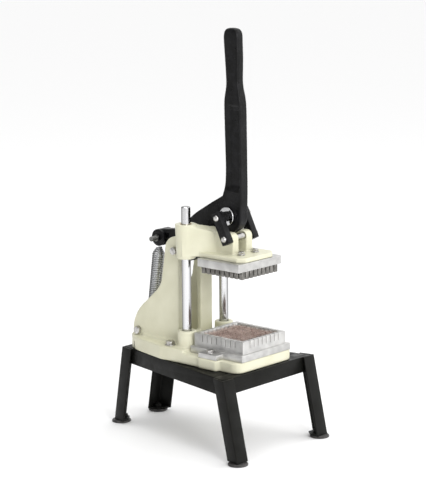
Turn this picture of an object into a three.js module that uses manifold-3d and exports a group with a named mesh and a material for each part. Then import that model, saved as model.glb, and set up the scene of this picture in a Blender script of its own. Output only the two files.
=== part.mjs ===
// Bench vegetable dicer: a pusher block with 81 fingers slides down two rods and drives a
// vegetable through a square grid of blades. A long lever works it through two links, and a
// tension spring behind the column lifts everything again.
//
// Millimetres, +Z up, the stand's feet on z = 0, the operator in front at -Y.
// Most pieces are drawn about the centre of the blade grid; the last lines move that point so
// that the origin lies under the middle of the whole machine.
import * as THREE from 'three';
import { mergeVertices } from 'three/addons/utils/BufferGeometryUtils.js';
import Module from 'manifold-3d';

const wasm = await Module();
wasm.setup();

// ---------------------------------------------------------------- driving dimensions
const GAP = 0.3;                      // air between pieces that bear on each other

// cutting grid
const CELL = 9.525;                   // pitch of the grid: three eighths of an inch
const CELLS = 9;                      // square cells each way
const BLADE = 0.7;                    // thickness of a blade
const BLADE_DEPTH = 5;                // half the height of a blade: how deep it is notched
const STEP = 0.2;                     // crosswise blades are this much lower at each edge

// stand of 25 mm angle
const STAND_TOP = 128;
const ANGLE = 25;
const STEEL = 3;
const RAIL_FLAT = 34;                 // width of a side rail's flat leg, under the base
const FRONT_CORNER = [108.6, -60.5];  // outer corner of a front leg at the top
const REAR_CORNER = [51.6, 206];
const FRONT_LEAN = -27.8;             // how far forward a front foot stands
const REAR_LEAN = 20;
const SIDE_INSET = 4.6;               // side rail inside the legs' outer faces
const END_INSET = 3.3;                // front and rear rails inside the legs' outer faces
const PAD_RADIUS = 15.5;
const PAD_HEIGHT = 4;
const SCREW_INSET = 3.5;              // foot screw from the middle of its pad, towards the stand
const FOOT_BOLTS = [[97.7, -80.3], [43.2, 218.1]];

// base casting
const BASE_FLOOR = STAND_TOP + GAP;
const PLATFORM = 145;                 // top of the platform under the blade frame
const LEDGE = 150;                    // top of the ledge behind it
const WALL = 8;                       // thickness of the casting's walls
const CHEEK = 40;                     // outer faces of the column's two cheeks
const COLUMN_FRONT = 92;
const SLOT = 12;                      // half width of the slot for the lever
const BRIDGE_TOP = 285;               // top of the wall that joins the cheeks in front
const MOUNT_BOLTS = [[57, 95, 4], [18, 190.5, 3]];  // x, y and radius

// guide rods
const ROD_X = 43.3;
const ROD_Y = 71.5;
const ROD = 7.25;
const ROD_TOP = 370.5;
const BOSS = 15.5;
const BOSS_TOP = 175.2;

// blade frame
const BLOCK = 50;
const BLOCK_TOP = 175.4;
const FRAME_FLOOR = PLATFORM + GAP;
const FLANGE_TOP = 156;
const FLANGE = 57;
const EAR = 72;
const EAR_BOLT = [64.5, 4];

// carriage and pusher block
const PLATE_FLOOR = 294.5;
const PLATE_TOP = 301.5;
const RIB_IN = 9;
const RIB_OUT = 23;
const SLEEVE = [289.5, 343.6];
const BUSH = 9;
const PUSHER = [50.4, 42.6];
const PUSHER_FLOOR = 281.4;
const FINGER_TIP = 269.5;
const FINGER = 7.9;
const PUSHER_BOLT = [16, -17.5];
const REAR_BOLT = [0, 20];            // between the ribs

// lever and linkage: pivot centres as [y, z]
const LEVER_PIVOT = [99, 297];
const LINK_TOP = [16, 357];
const LINK_FOOT = [0.5, 326];
const SPRING_TOP = [160, 306];
const SPRING_FOOT = [180, 158];
const ARM = 8.6;                      // half thickness of the lever's arm and hub
const GRIP = 7.6;                     // half thickness of the handle
const HUB = 26;
const HUB_FACE = 13;                  // outer faces of the hub pin's shoulders
const FORK = 2.6;                     // half width of the slot for the spring's hook
const COLLAR = 8;
const LINK_IN = 24;
const LINK_OUT = 35.5;
const LINK_WIDTH = 15;
const PIN_END = 38;
const PIN_TAIL = 41.5;                // the same on the right side
const PIN = 5;
const PIVOT_PIN = 3.5;
const SPRING_PIN = 4;
const CROSS_HEAD = 6.5;               // corner radius of a cross bolt's head

// return spring
const COIL = 10.4;
const SPRING_X = -8;                  // the spring hangs a little left of the middle
const WIRE = 3;
const HOOK_LENGTH = 15.5;             // from a bolt's centre to the coil
const NECK = 13;                      // length over which the coil draws in at an end
const NECK_DRAW = 5.4;

// ---------------------------------------------------------------- finishes
const paint = (color, roughness, metalness) =>
  new THREE.MeshStandardMaterial({ color, roughness, metalness });
const FINISH = {
  cream: () => paint(0xd8d5be, 0.4, 0.0),
  black: () => paint(0x17171a, 0.45, 0.1),
  chrome: () => paint(0xd0d2d6, 0.12, 1.0),
  aluminium: () => paint(0xb4b5b9, 0.45, 0.9),
  steel: () => paint(0xa8a9ac, 0.3, 1.0),
  bronze: () => paint(0xa8834f, 0.4, 0.9),
  rubber: () => paint(0x1c1c1c, 0.8, 0.0),
};

// ---------------------------------------------------------------- helpers
const machine = new THREE.Group();
const BOTH = [['left', -1], ['right', 1]];

// A three.js geometry as a solid for cutting and joining.
function solid(geometry) {
  const bare = geometry.index ? geometry.toNonIndexed() : geometry.clone();
  bare.deleteAttribute('normal');
  bare.deleteAttribute('uv');
  const merged = mergeVertices(bare, 1e-4);
  return new wasm.Manifold(new wasm.Mesh({
    numProp: 3,
    vertProperties: new Float32Array(merged.attributes.position.array),
    triVerts: new Uint32Array(merged.index.array),
  }));
}

// A solid as a three.js geometry.
function surface(body) {
  const mesh = body.getMesh();
  const geometry = new THREE.BufferGeometry();
  geometry.setAttribute('position', new THREE.BufferAttribute(mesh.vertProperties, 3));
  geometry.setIndex(new THREE.BufferAttribute(mesh.triVerts, 1));
  geometry.computeVertexNormals();
  return geometry;
}

const join = (...bodies) => bodies.reduce((sum, next) => sum.add(next));
const cut = (body, ...tools) => tools.reduce((rest, tool) => rest.subtract(tool), body);

function add(name, body, finish) {
  const mesh = new THREE.Mesh(surface(body), FINISH[finish]());
  mesh.name = name;
  machine.add(mesh);
}

function outline(points) {
  return new THREE.Shape(points.map(([a, b]) => new THREE.Vector2(a, b)));
}

function extrude(shape, depth, arcSteps) {
  return new THREE.ExtrudeGeometry(shape, { depth, bevelEnabled: false, curveSegments: arcSteps });
}

// A plan shape (x, y) raised from z0 to z1.
function raise(shape, z0, z1, arcSteps = 6) {
  return solid(extrude(shape, z1 - z0, arcSteps).translate(0, 0, z0));
}

// A side shape (y, z) carried across from x0 to x1.
function across(shape, x0, x1, arcSteps = 6) {
  const turned = new THREE.Matrix4().set(0, 0, 1, x0, 1, 0, 0, 0, 0, 1, 0, 0, 0, 0, 0, 1);
  return solid(extrude(shape, x1 - x0, arcSteps).applyMatrix4(turned));
}

function box(x0, x1, y0, y1, z0, z1) {
  const block = new THREE.BoxGeometry(x1 - x0, y1 - y0, z1 - z0);
  return solid(block.translate((x0 + x1) / 2, (y0 + y1) / 2, (z0 + z1) / 2));
}

// A round bar standing at (x, y), with its own radius at each end; six sides make a hexagon.
function post(x, y, z0, z1, radius, sides = 16, topRadius = radius) {
  const bar = new THREE.CylinderGeometry(topRadius, radius, z1 - z0, sides);
  return solid(bar.rotateX(Math.PI / 2).translate(x, y, (z0 + z1) / 2));
}

// A round bar lying along X through the point [y, z].
function axle([y, z], x0, x1, radius, sides = 16) {
  const bar = new THREE.CylinderGeometry(radius, radius, x1 - x0, sides);
  return solid(bar.rotateZ(Math.PI / 2).translate((x0 + x1) / 2, y, z));
}

// The same bar on one side of the middle plane, from near out to far.
function sideAxle(centre, side, near, far, radius, sides) {
  return axle(centre, Math.min(side * near, side * far), Math.max(side * near, side * far),
    radius, sides);
}

// The bar on both sides.
function axlePair(centre, near, far, radius, sides) {
  return join(...BOTH.map(([, side]) => sideAxle(centre, side, near, far, radius, sides)));
}

// ---------------------------------------------------------------- stand
// The stand is a trapezium in plan: each side runs from a front corner to a rear corner.
const sideRun = new THREE.Vector2(REAR_CORNER[0] - FRONT_CORNER[0],
  REAR_CORNER[1] - FRONT_CORNER[1]).normalize();

// Half width of the stand at depth y, measured to a line set in from the legs' outer faces.
function halfWidth(y, inset) {
  const outer = FRONT_CORNER[0] + (y - FRONT_CORNER[1]) * sideRun.x / sideRun.y;
  return outer - inset / sideRun.y;
}

// An angle-iron leg, sheared so that its foot stands off by the lean.
function leg(corner, lean, side, into) {
  const [x, y] = corner;
  const along = sideRun.clone().multiplyScalar(into);
  const skin = STEEL / sideRun.y;
  const point = (a, b) => [side * (x - a + along.x * b), y + along.y * b];
  const section = outline([point(0, 0), point(ANGLE, 0), point(ANGLE, skin), point(skin, skin),
    point(skin, ANGLE), point(0, ANGLE)]);
  const angle = raise(section, PAD_HEIGHT + GAP, STAND_TOP);
  const tab = raise(outline([point(skin - 1, skin - 1), point(ANGLE, skin - 1),
    point(ANGLE, ANGLE * 0.55), point(ANGLE * 0.55, ANGLE), point(skin - 1, ANGLE)]),
  PAD_HEIGHT + GAP, PAD_HEIGHT + GAP + STEEL);
  // Each point moves along Y in proportion to its distance below the top.
  const slope = lean / (PAD_HEIGHT - STAND_TOP);
  return join(angle, tab).transform(
    [1, 0, 0, 0, 0, 1, 0, 0, 0, slope, 1, 0, 0, -slope * STAND_TOP, 0, 1]);
}

const LEGS = [
  ['front', FRONT_CORNER, FRONT_LEAN, 1, FOOT_BOLTS[0]],
  ['rear', REAR_CORNER, REAR_LEAN, -1, FOOT_BOLTS[1]],
];

function buildLegs() {
  for (const [end, corner, lean, into, [padX, padY]] of LEGS) {
    for (const [hand, side] of BOTH) {
      const boltX = side * (padX - SCREW_INSET);
      const boltY = padY + into * SCREW_INSET;
      const hole = post(boltX, boltY, 0, 12, 3.4, 8);
      add(`leg_${end}_${hand}`, cut(leg(corner, lean, side, into), hole), 'black');
      const counterbore = post(boltX, boltY, -1, 2.4, 6, 12);
      const pad = join(post(side * padX, padY, 0, PAD_HEIGHT - 1.2, PAD_RADIUS, 20),
        post(side * padX, padY, PAD_HEIGHT - 1.2, PAD_HEIGHT, PAD_RADIUS, 20, PAD_RADIUS - 1.6));
      add(`foot_${end}_${hand}`, cut(pad, hole, counterbore), 'rubber');
      add(`foot_screw_${end}_${hand}`, footScrew(boltX, boltY), 'black');
    }
  }
}

// The screw of each foot comes up through the pad and the leg's tab into its nut.
function footScrew(x, y) {
  const seat = PAD_HEIGHT + STEEL + 2 * GAP;
  return join(post(x, y, 0.4, 2.1, 5.5, 10), post(x, y, 1.5, seat + 7, 3, 8),
    post(x, y, seat, seat + 5, 5.8, 6));
}

// A rail across the front or the rear: a wall with a flange on top, pointing inwards.
function endRail(outerY, into) {
  const strip = (y0, y1, z0, z1) => raise(outline([
    [halfWidth(y0, SIDE_INSET), y0], [halfWidth(y1, SIDE_INSET), y1],
    [-halfWidth(y1, SIDE_INSET), y1], [-halfWidth(y0, SIDE_INSET), y0]]), z0, z1);
  const wall = strip(outerY, outerY + into * STEEL, STAND_TOP - ANGLE, STAND_TOP);
  const flange = strip(outerY, outerY + into * ANGLE, STAND_TOP - STEEL, STAND_TOP);
  return join(wall, flange);
}

// A rail along one side, notched under the flanges of the end rails.
function sideRail(side, frontY, rearY) {
  const strip = (y0, y1, depth, z0, z1) => raise(outline([
    [side * halfWidth(y0, SIDE_INSET), y0], [side * halfWidth(y1, SIDE_INSET), y1],
    [side * halfWidth(y1, SIDE_INSET + depth), y1],
    [side * halfWidth(y0, SIDE_INSET + depth), y0]]), z0, z1);
  const wallEnds = [frontY + STEEL + GAP, rearY - STEEL - GAP];
  const flangeEnds = [frontY + ANGLE + GAP, rearY - ANGLE - GAP];
  return join(strip(...wallEnds, STEEL, STAND_TOP - ANGLE, STAND_TOP - STEEL - GAP),
    strip(...flangeEnds, STEEL, STAND_TOP - ANGLE, STAND_TOP),
    strip(...flangeEnds, RAIL_FLAT, STAND_TOP - STEEL, STAND_TOP));
}

// The square well under the blades, open down to the pan under the stand.
const CHUTE = CELL * 4.75;
const chute = () => box(-CHUTE, CHUTE, -CHUTE, CHUTE, 50, 200);

// Clearance holes for the bolts that hold the base down.
const mountHoles = () => join(...BOTH.flatMap(([, side]) =>
  MOUNT_BOLTS.map(([x, y, radius]) => post(side * x, y, 90, 160, radius + 0.4, 10))));

function buildRails() {
  const frontY = FRONT_CORNER[1] + END_INSET;
  const rearY = REAR_CORNER[1] - END_INSET;
  add('rail_front', cut(endRail(frontY, 1), chute()), 'black');
  add('rail_rear', cut(endRail(rearY, -1), mountHoles()), 'black');
  for (const [hand, side] of BOTH) {
    add(`rail_${hand}`, cut(sideRail(side, frontY, rearY), mountHoles()), 'black');
  }
}

// ---------------------------------------------------------------- base and column, one casting
// Plan of the base: square platform in front with a lug each side, rounded tail behind.
function basePlan() {
  const plan = new THREE.Shape();
  plan.moveTo(-51.5, -53);
  plan.lineTo(51.5, -53);
  plan.absarc(51.5, -38, 15, -Math.PI / 2, 0, false);
  plan.lineTo(66.5, -17);
  plan.lineTo(74, -13);
  plan.lineTo(74, 20);
  plan.lineTo(71, 26);
  plan.lineTo(71, 105);
  plan.lineTo(57.7, 160);
  plan.bezierCurveTo(53.5, 178, 43, 202, 22, 202);
  plan.lineTo(-22, 202);
  plan.bezierCurveTo(-43, 202, -53.5, 178, -57.7, 160);
  plan.lineTo(-71, 105);
  plan.lineTo(-71, 26);
  plan.lineTo(-74, 20);
  plan.lineTo(-74, -13);
  plan.lineTo(-66.5, -17);
  plan.lineTo(-66.5, -38);
  plan.absarc(-51.5, -38, 15, Math.PI, Math.PI * 1.5, false);
  return plan;
}

// Side of a cheek as (y, z): upright front edge, a lobe round the lever pivot, and a hollow
// back edge that swells out again round the spring's lower bolt.
function cheekSide() {
  const [pivotY, pivotZ] = LEVER_PIVOT;
  const side = new THREE.Shape();
  side.moveTo(COLUMN_FRONT, LEDGE - 4);
  side.lineTo(COLUMN_FRONT, pivotZ + 17);
  side.lineTo(pivotY - 3, pivotZ + 21.5);
  side.absarc(pivotY - 0.5, pivotZ, 22, Math.PI / 2, 0, true);
  side.lineTo(129, 246);
  side.bezierCurveTo(132, 232, 148, 222, 162, 208.5);
  side.bezierCurveTo(180, 195, 192, 178, 192, 158);
  side.lineTo(192, LEDGE - 4);
  return side;
}

function buildBase() {
  const ledgeCut = box(-80, 80, -80, 56, PLATFORM, LEDGE + 1);
  const slab = cut(raise(basePlan(), BASE_FLOOR, LEDGE), ledgeCut);
  const hollow = box(-50, 50, 96, 182, BASE_FLOOR - 1, LEDGE - WALL);
  const cheeks = join(...BOTH.map(([, side]) => across(cheekSide(),
    Math.min(side * CHEEK, side * (CHEEK - WALL)), Math.max(side * CHEEK, side * (CHEEK - WALL)))));
  const feet = join(...BOTH.map(([, side]) => raise(outline([[side * 45, 92], [side * 40, 92],
    [side * 40, 172], [side * 45, 166]]), LEDGE - 4, LEDGE + 4)));
  const front = box(-CHEEK, CHEEK, COLUMN_FRONT, COLUMN_FRONT + WALL, LEDGE - 4, BRIDGE_TOP);
  const slot = box(-SLOT, SLOT, COLUMN_FRONT - 5, COLUMN_FRONT + WALL + 5, LEDGE + 12, 330);
  const bosses = join(...BOTH.map(([, side]) =>
    post(side * ROD_X, ROD_Y, BASE_FLOOR, BOSS_TOP, BOSS, 24, BOSS - 0.8)));
  const rodHoles = join(...BOTH.map(([, side]) =>
    post(side * ROD_X, ROD_Y, 100, 200, ROD + GAP, 16)));
  const nutPockets = join(...BOTH.map(([, side]) =>
    post(side * ROD_X, ROD_Y, BASE_FLOOR - 1, BASE_FLOOR + 9, 12.5, 12)));
  const earHoles = join(...BOTH.map(([, side]) =>
    post(side * EAR_BOLT[0], EAR_BOLT[1], 120, 160, 3.4, 8)));
  const casting = join(cut(slab, chute(), hollow), cheeks, feet, cut(front, slot), bosses);
  add('base_casting', cut(casting, rodHoles, nutPockets, mountHoles(), earHoles,
    axle(LEVER_PIVOT, -60, 60, PIVOT_PIN + GAP, 12),
    axle(SPRING_FOOT, -60, 60, SPRING_PIN + GAP, 10)), 'cream');
}

// ---------------------------------------------------------------- fasteners of the base
// A hexagon bolt standing at (x, y) with its head's seat at z, its shank reaching down to zEnd.
function hexBolt(x, y, z, zEnd, radius) {
  const washer = post(x, y, z, z + 1.4, radius * 2.1, 12);
  const head = post(x, y, z + 1, z + 1.4 + radius * 1.3, radius * 1.85, 6);
  return join(washer, head, post(x, y, zEnd, z + 1, radius, 8));
}

function hexNut(x, y, z0, z1, radius) {
  return cut(post(x, y, z0, z1, radius * 1.85, 6), post(x, y, z0 - 5, z1 + 5, radius + GAP, 8));
}

// Adds one fastener of its own at each place [x, y] and its mirror image.
function addPairs(name, places, build) {
  const ends = places.length > 1 ? ['_front', '_rear'] : [''];
  for (const [hand, side] of BOTH) {
    places.forEach(([x, y, radius], i) =>
      add(`${name}${ends[i]}_${hand}`, build(side * x, y, radius), 'steel'));
  }
}

function buildBaseFasteners() {
  const under = STAND_TOP - STEEL - GAP;
  addPairs('base_bolt', MOUNT_BOLTS, (x, y, radius) =>
    hexBolt(x, y, LEDGE + GAP, under - 2.2 * radius, radius));
  addPairs('base_nut', MOUNT_BOLTS, (x, y, radius) =>
    hexNut(x, y, under - 1.6 * radius, under, radius));
}

// ---------------------------------------------------------------- guide rods
function buildRods() {
  for (const [hand, side] of BOTH) {
    add(`guide_rod_${hand}`, join(post(side * ROD_X, ROD_Y, BASE_FLOOR + 0.6, ROD_TOP - 1, ROD, 20),
      post(side * ROD_X, ROD_Y, ROD_TOP - 1, ROD_TOP, ROD, 20, ROD - 1)), 'chrome');
    add(`rod_nut_${hand}`, cut(post(side * ROD_X, ROD_Y, BASE_FLOOR + 1.2, BASE_FLOOR + 8.4, 11.4, 6),
      post(side * ROD_X, ROD_Y, 100, 200, ROD + GAP, 12)), 'steel');
  }
}

// ---------------------------------------------------------------- blade frame
const gridLines = () => Array.from({ length: CELLS - 1 }, (_, i) => (i + 1 - CELLS / 2) * CELL);
const OPENING = CELLS * CELL / 2;

function buildBladeFrame() {
  const block = box(-BLOCK, BLOCK, -BLOCK, BLOCK, FRAME_FLOOR, BLOCK_TOP);
  const flange = box(-FLANGE, FLANGE, -54, 52, FRAME_FLOOR, FLANGE_TOP);
  const ears = box(-EAR, EAR, -15, 22, FRAME_FLOOR, FLANGE_TOP - 3);
  const opening = box(-OPENING, OPENING, -OPENING, OPENING, 100, 200);
  const bladeTop = BLOCK_TOP - 1.6;
  const slots = gridLines().flatMap((at) => [
    box(at - BLADE / 2 - GAP, at + BLADE / 2 + GAP, -BLOCK - 1, BLOCK + 1,
      bladeTop - 2 * BLADE_DEPTH - GAP, BLOCK_TOP + 1),
    box(-BLOCK - 1, BLOCK + 1, at - BLADE / 2 - GAP, at + BLADE / 2 + GAP,
      bladeTop - 2 * BLADE_DEPTH - GAP, BLOCK_TOP + 1)]);
  const bolts = join(...BOTH.map(([, side]) =>
    post(side * EAR_BOLT[0], EAR_BOLT[1], 120, 160, 3.4, 8)));
  add('blade_frame', cut(join(block, flange, ears), opening, bolts, ...slots), 'aluminium');

  // Eight blades each way, notched into each other where they cross. The crosswise ones are
  // a little narrower, so that no two edges lie in one plane.
  const reach = BLOCK - 1.5;
  const bladeFloor = bladeTop - 2 * BLADE_DEPTH;
  add('blade_grid', join(...gridLines().flatMap((at) => [
    box(at - BLADE / 2, at + BLADE / 2, -reach, reach, bladeFloor, bladeTop),
    box(-reach, reach, at - BLADE / 2, at + BLADE / 2, bladeFloor + STEP, bladeTop - STEP)])),
  'steel');
  addPairs('blade_frame_bolt', [EAR_BOLT], (x, y) =>
    hexBolt(x, y, FLANGE_TOP - 3 + GAP, BASE_FLOOR + 1, 3));
}

// ---------------------------------------------------------------- carriage
function rib(side) {
  const shape = new THREE.Shape();
  shape.moveTo(-7, PLATE_TOP - 2);
  shape.lineTo(-7, 324);
  shape.absarc(3, 324, 10, Math.PI, Math.PI * 0.55, true);
  shape.lineTo(28, 334);
  shape.lineTo(46, 339);
  shape.lineTo(46, PLATE_TOP - 2);
  return across(shape, Math.min(side * RIB_IN, side * RIB_OUT), Math.max(side * RIB_IN, side * RIB_OUT));
}

// A web sweeps from the sleeve's outside in to the rib.
function web(side) {
  const plan = outline([[side * 59, 66], [side * RIB_OUT, 26], [side * RIB_IN, 26],
    [side * RIB_IN, 44], [side * 30, 60], [side * 36, 72], [side * 55, 76]]);
  const slope = outline([[20, PLATE_FLOOR], [20, 330], [62, 343.4], [80, 343.4], [80, PLATE_FLOOR]]);
  return raise(plan, PLATE_FLOOR, SLEEVE[1]).intersect(across(slope, -80, 80));
}

function buildCarriage() {
  const plate = raise(outline([[-41.5, 45], [-41.5, -30], [-30, -41], [30, -41], [41.5, -30],
    [41.5, 45]]), PLATE_FLOOR, PLATE_TOP);
  const sleeves = BOTH.map(([, side]) => post(side * ROD_X, ROD_Y, SLEEVE[0], SLEEVE[1], 15, 24, 17));
  const bores = BOTH.map(([, side]) => post(side * ROD_X, ROD_Y, 250, 400, BUSH + GAP));
  const boltHoles = PUSHER_SITES.map(([x, y]) => post(x, y, 280, 310, 3.4, 8));
  const body = join(plate, ...BOTH.map(([, side]) => join(rib(side), web(side))), ...sleeves);
  add('carriage_casting', cut(body, ...bores, ...boltHoles,
    axle(LINK_FOOT, -60, 60, PIN + GAP)), 'cream');
  for (const [hand, side] of BOTH) {
    add(`guide_bush_${hand}`, cut(
      post(side * ROD_X, ROD_Y, SLEEVE[0] + 0.5, SLEEVE[1] - 0.5, BUSH),
      post(side * ROD_X, ROD_Y, 250, 400, ROD + GAP)), 'bronze');
  }
}

const PUSHER_SITES = [PUSHER_BOLT, [-PUSHER_BOLT[0], PUSHER_BOLT[1]], REAR_BOLT];

function buildPusher() {
  const fingerLines = Array.from({ length: CELLS }, (_, i) => (i - (CELLS - 1) / 2) * CELL);
  const plate = box(-PUSHER[0], PUSHER[0], -PUSHER[1], PUSHER[1], PUSHER_FLOOR, PLATE_FLOOR - GAP);
  const fingers = fingerLines.flatMap((x) => fingerLines.map((y) => box(x - FINGER / 2,
    x + FINGER / 2, y - FINGER / 2, y + FINGER / 2, FINGER_TIP, PUSHER_FLOOR + 1)));
  const holes = PUSHER_SITES.map(([x, y]) => post(x, y, PUSHER_FLOOR + 3, 300, 3 + GAP, 8));
  add('pusher_block', cut(join(plate, ...fingers), ...holes), 'aluminium');
  const pusherBolt = (x, y) => hexBolt(x, y, PLATE_TOP + GAP, PUSHER_FLOOR + 4, 3);
  addPairs('pusher_bolt', [PUSHER_BOLT], pusherBolt);
  add('pusher_bolt_rear', pusherBolt(...REAR_BOLT), 'steel');
}

// ---------------------------------------------------------------- lever
// Handle as (y, z): grip with a waist under it, then a deeper bar that widens to the hub.
function handleSide() {
  const side = new THREE.Shape();
  side.moveTo(-10, LINK_TOP[1]);
  side.lineTo(-10, 400);
  side.lineTo(-8.6, 520);
  side.quadraticCurveTo(-7.5, 545, -4, 558);
  side.lineTo(-4.6, 600);
  side.bezierCurveTo(-4.6, 636, -2, 645, 8, 645);
  side.bezierCurveTo(20, 645, 22.8, 637, 22.6, 622);
  side.lineTo(18, 560);
  side.bezierCurveTo(18, 550, 22, 545, 21.6, 535);
  side.lineTo(19, 415);
  side.quadraticCurveTo(19, 395, 30, 381);
  side.lineTo(30, LINK_TOP[1]);
  return side;
}

// Arm as (y, z): from the hub back over the pivot to the spring's boss.
function armSide() {
  const [y, z] = LEVER_PIVOT;
  const side = new THREE.Shape();
  side.moveTo(8, LINK_TOP[1] - HUB + 1);
  side.lineTo(28, LINK_TOP[1] + HUB + 4.5);
  side.lineTo(73, 361);
  side.quadraticCurveTo(92, 350, 109, 332);
  side.quadraticCurveTo(119, 322, SPRING_TOP[0], SPRING_TOP[1] + 13.5);
  side.lineTo(SPRING_TOP[0], SPRING_TOP[1] - 3);
  side.lineTo(y + 49, z + 4);
  side.lineTo(y + 30, z - 4);
  side.lineTo(y + 12, z - 17);
  side.absarc(y, z, 21, -0.98, -2.2, true);
  return side;
}

function buildLever() {
  const arm = across(armSide(), -ARM, ARM, 8);
  const hub = axle(LINK_TOP, -ARM, ARM, HUB, 40);
  const handle = across(handleSide(), -GRIP, GRIP, 8);
  const recess = outline([[-4, 398], [-3, 522], [16, 528], [13.5, 402]]);
  const recesses = [across(recess, GRIP - 3, GRIP + 3), across(recess, -GRIP - 3, 3 - GRIP)];
  const boss = axle(SPRING_TOP, -14, 14, 13.5, 20);
  const fork = box(SPRING_X - FORK, SPRING_X + FORK, SPRING_TOP[0] - 20, SPRING_TOP[0] + 20,
    SPRING_TOP[1] - 20, SPRING_TOP[1] + 9);
  const body = cut(join(arm, hub, boss, cut(handle, ...recesses)), fork);
  add('lever_casting', cut(body, axle(LEVER_PIVOT, -60, 60, PIVOT_PIN + GAP, 12),
    axle(LINK_TOP, -60, 60, PIN + GAP, 12), axle(SPRING_TOP, -60, 60, SPRING_PIN + GAP, 10)), 'black');
  add('hub_pin', join(axlePair(LINK_TOP, ARM + GAP, HUB_FACE, 14.5, 24),
    axle(LINK_TOP, -HUB_FACE, HUB_FACE, PIN, 12)), 'chrome');
}

// A bolt lying along X: head outside the left face, nut outside the right one.
function crossBolt(centre, face, radius) {
  return join(axle(centre, -face - GAP - 5, -face - GAP, CROSS_HEAD, 6),
    axle(centre, -face - GAP - 1, face + 10, radius, 12));
}

function crossNut(centre, face, radius) {
  return cut(axle(centre, face + GAP, face + GAP + 5.5, CROSS_HEAD, 6),
    axle(centre, 0, 99, radius + GAP, 12));
}

function buildPivots() {
  add('lever_pivot_bolt', crossBolt(LEVER_PIVOT, CHEEK, PIVOT_PIN), 'steel');
  add('lever_pivot_nut', crossNut(LEVER_PIVOT, CHEEK, PIVOT_PIN), 'steel');
  const spacerBore = axle(LEVER_PIVOT, -60, 60, PIVOT_PIN + GAP, 12);
  for (const [hand, side] of BOTH) {
    add(`pivot_spacer_${hand}`, cut(sideAxle(LEVER_PIVOT, side, ARM + GAP, CHEEK - WALL - GAP, 9),
      spacerBore), 'steel');
  }
  add('spring_foot_bolt', crossBolt(SPRING_FOOT, CHEEK, SPRING_PIN), 'steel');
  add('spring_foot_nut', crossNut(SPRING_FOOT, CHEEK, SPRING_PIN), 'steel');
  add('spring_top_bolt', join(axle(SPRING_TOP, -30, 17, SPRING_PIN, 10),
    axle(SPRING_TOP, 14.3, 19, CROSS_HEAD, 6)), 'steel');
  add('spring_top_nut', cut(axle(SPRING_TOP, -18.5, -14.3, 5.8, 6),
    axle(SPRING_TOP, -60, 60, SPRING_PIN + GAP, 10)), 'steel');
}

// ---------------------------------------------------------------- links
function buildLinks() {
  const [topY, topZ] = LINK_TOP;
  const [footY, footZ] = LINK_FOOT;
  const length = Math.hypot(topY - footY, topZ - footZ);
  const tilt = Math.atan2(topZ - footZ, topY - footY);
  const bar = (x0, x1) => solid(new THREE.BoxGeometry(x1 - x0, length + 17, LINK_WIDTH)
    .rotateX(tilt).translate((x0 + x1) / 2, (topY + footY) / 2, (topZ + footZ) / 2));
  for (const [hand, side] of BOTH) {
    const ends = [side * LINK_IN, side * LINK_OUT].sort((a, b) => a - b);
    const holes = [LINK_TOP, LINK_FOOT].map((centre) => axle(centre, -60, 60, PIN + GAP, 12));
    add(`link_${hand}`, cut(bar(...ends), ...holes), 'black');
    add(`link_stud_${hand}`, join(sideAxle(LINK_TOP, side, HUB_FACE + GAP, LINK_IN - GAP, COLLAR),
      sideAxle(LINK_TOP, side, HUB_FACE + GAP, side > 0 ? PIN_TAIL : PIN_END, PIN, 12)), 'steel');
  }
  add('link_foot_pin', axle(LINK_FOOT, -PIN_END, PIN_TAIL, PIN, 12), 'steel');
}

// ---------------------------------------------------------------- return spring
const springAxis = new THREE.Vector2(SPRING_TOP[0] - SPRING_FOOT[0], SPRING_TOP[1] - SPRING_FOOT[1]);
const springLength = springAxis.length();
const springLean = Math.atan2(-springAxis.x, springAxis.y);

// Places a solid drawn upright on the origin so that it stands on the spring's lower bolt.
function onSpring(geometry) {
  return solid(geometry.rotateX(springLean).translate(SPRING_X, ...SPRING_FOOT));
}

// A turned sleeve on the spring's axis, from profile points [radius, height].
function sleeve(profile) {
  const turned = new THREE.LatheGeometry(profile.map(([r, h]) => new THREE.Vector2(r, h)), 16);
  return onSpring(turned.rotateX(Math.PI / 2));
}

// The coil is a sleeve of the wire's thickness that draws in to a neck at each end. Its last
// turns at the top are a sleeve of their own, because they rise while the rest stretches.
function buildSpring() {
  const from = HOOK_LENGTH;
  const to = springLength - HOOK_LENGTH;
  const inner = COIL - WIRE;
  const [neckOut, neckIn] = [COIL - NECK_DRAW, inner - NECK_DRAW];
  add('spring_coil', sleeve([[neckIn, from], [neckOut, from], [COIL, from + NECK],
    [COIL, to - NECK - GAP], [inner, to - NECK - GAP], [inner, from + NECK], [neckIn, from]]),
  'steel');
  add('spring_coil_end', sleeve([[inner, to - NECK], [COIL, to - NECK], [neckOut, to],
    [neckIn, to], [inner, to - NECK]]), 'steel');
  add('spring_hook_lower', hook(0, 1), 'steel');
  add('spring_hook_upper', hook(springLength, -1), 'steel');
}

// A hook: an eye round the bolt and a stem that runs up inside the coil to a round stop.
function hook(height, up) {
  const eyeRadius = SPRING_PIN + GAP + WIRE / 2;
  const ring = new THREE.TorusGeometry(eyeRadius, WIRE / 2, 6, 14).rotateY(Math.PI / 2);
  const stem = new THREE.CylinderGeometry(WIRE / 2, WIRE / 2, HOOK_LENGTH + 2, 8).rotateX(Math.PI / 2);
  const stop = new THREE.CylinderGeometry(2.9, 2.9, 3, 8).rotateX(Math.PI / 2);
  return join(onSpring(ring.translate(0, 0, height)),
    onSpring(stem.translate(0, 0, height + up * (eyeRadius + (HOOK_LENGTH + 2) / 2))),
    onSpring(stop.translate(0, 0, height + up * (eyeRadius + HOOK_LENGTH + 2))));
}

// ---------------------------------------------------------------- assembly
buildLegs();
buildRails();
buildBase();
buildBaseFasteners();
buildRods();
buildBladeFrame();
buildCarriage();
buildPusher();
buildLever();
buildPivots();
buildLinks();
buildSpring();

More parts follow.
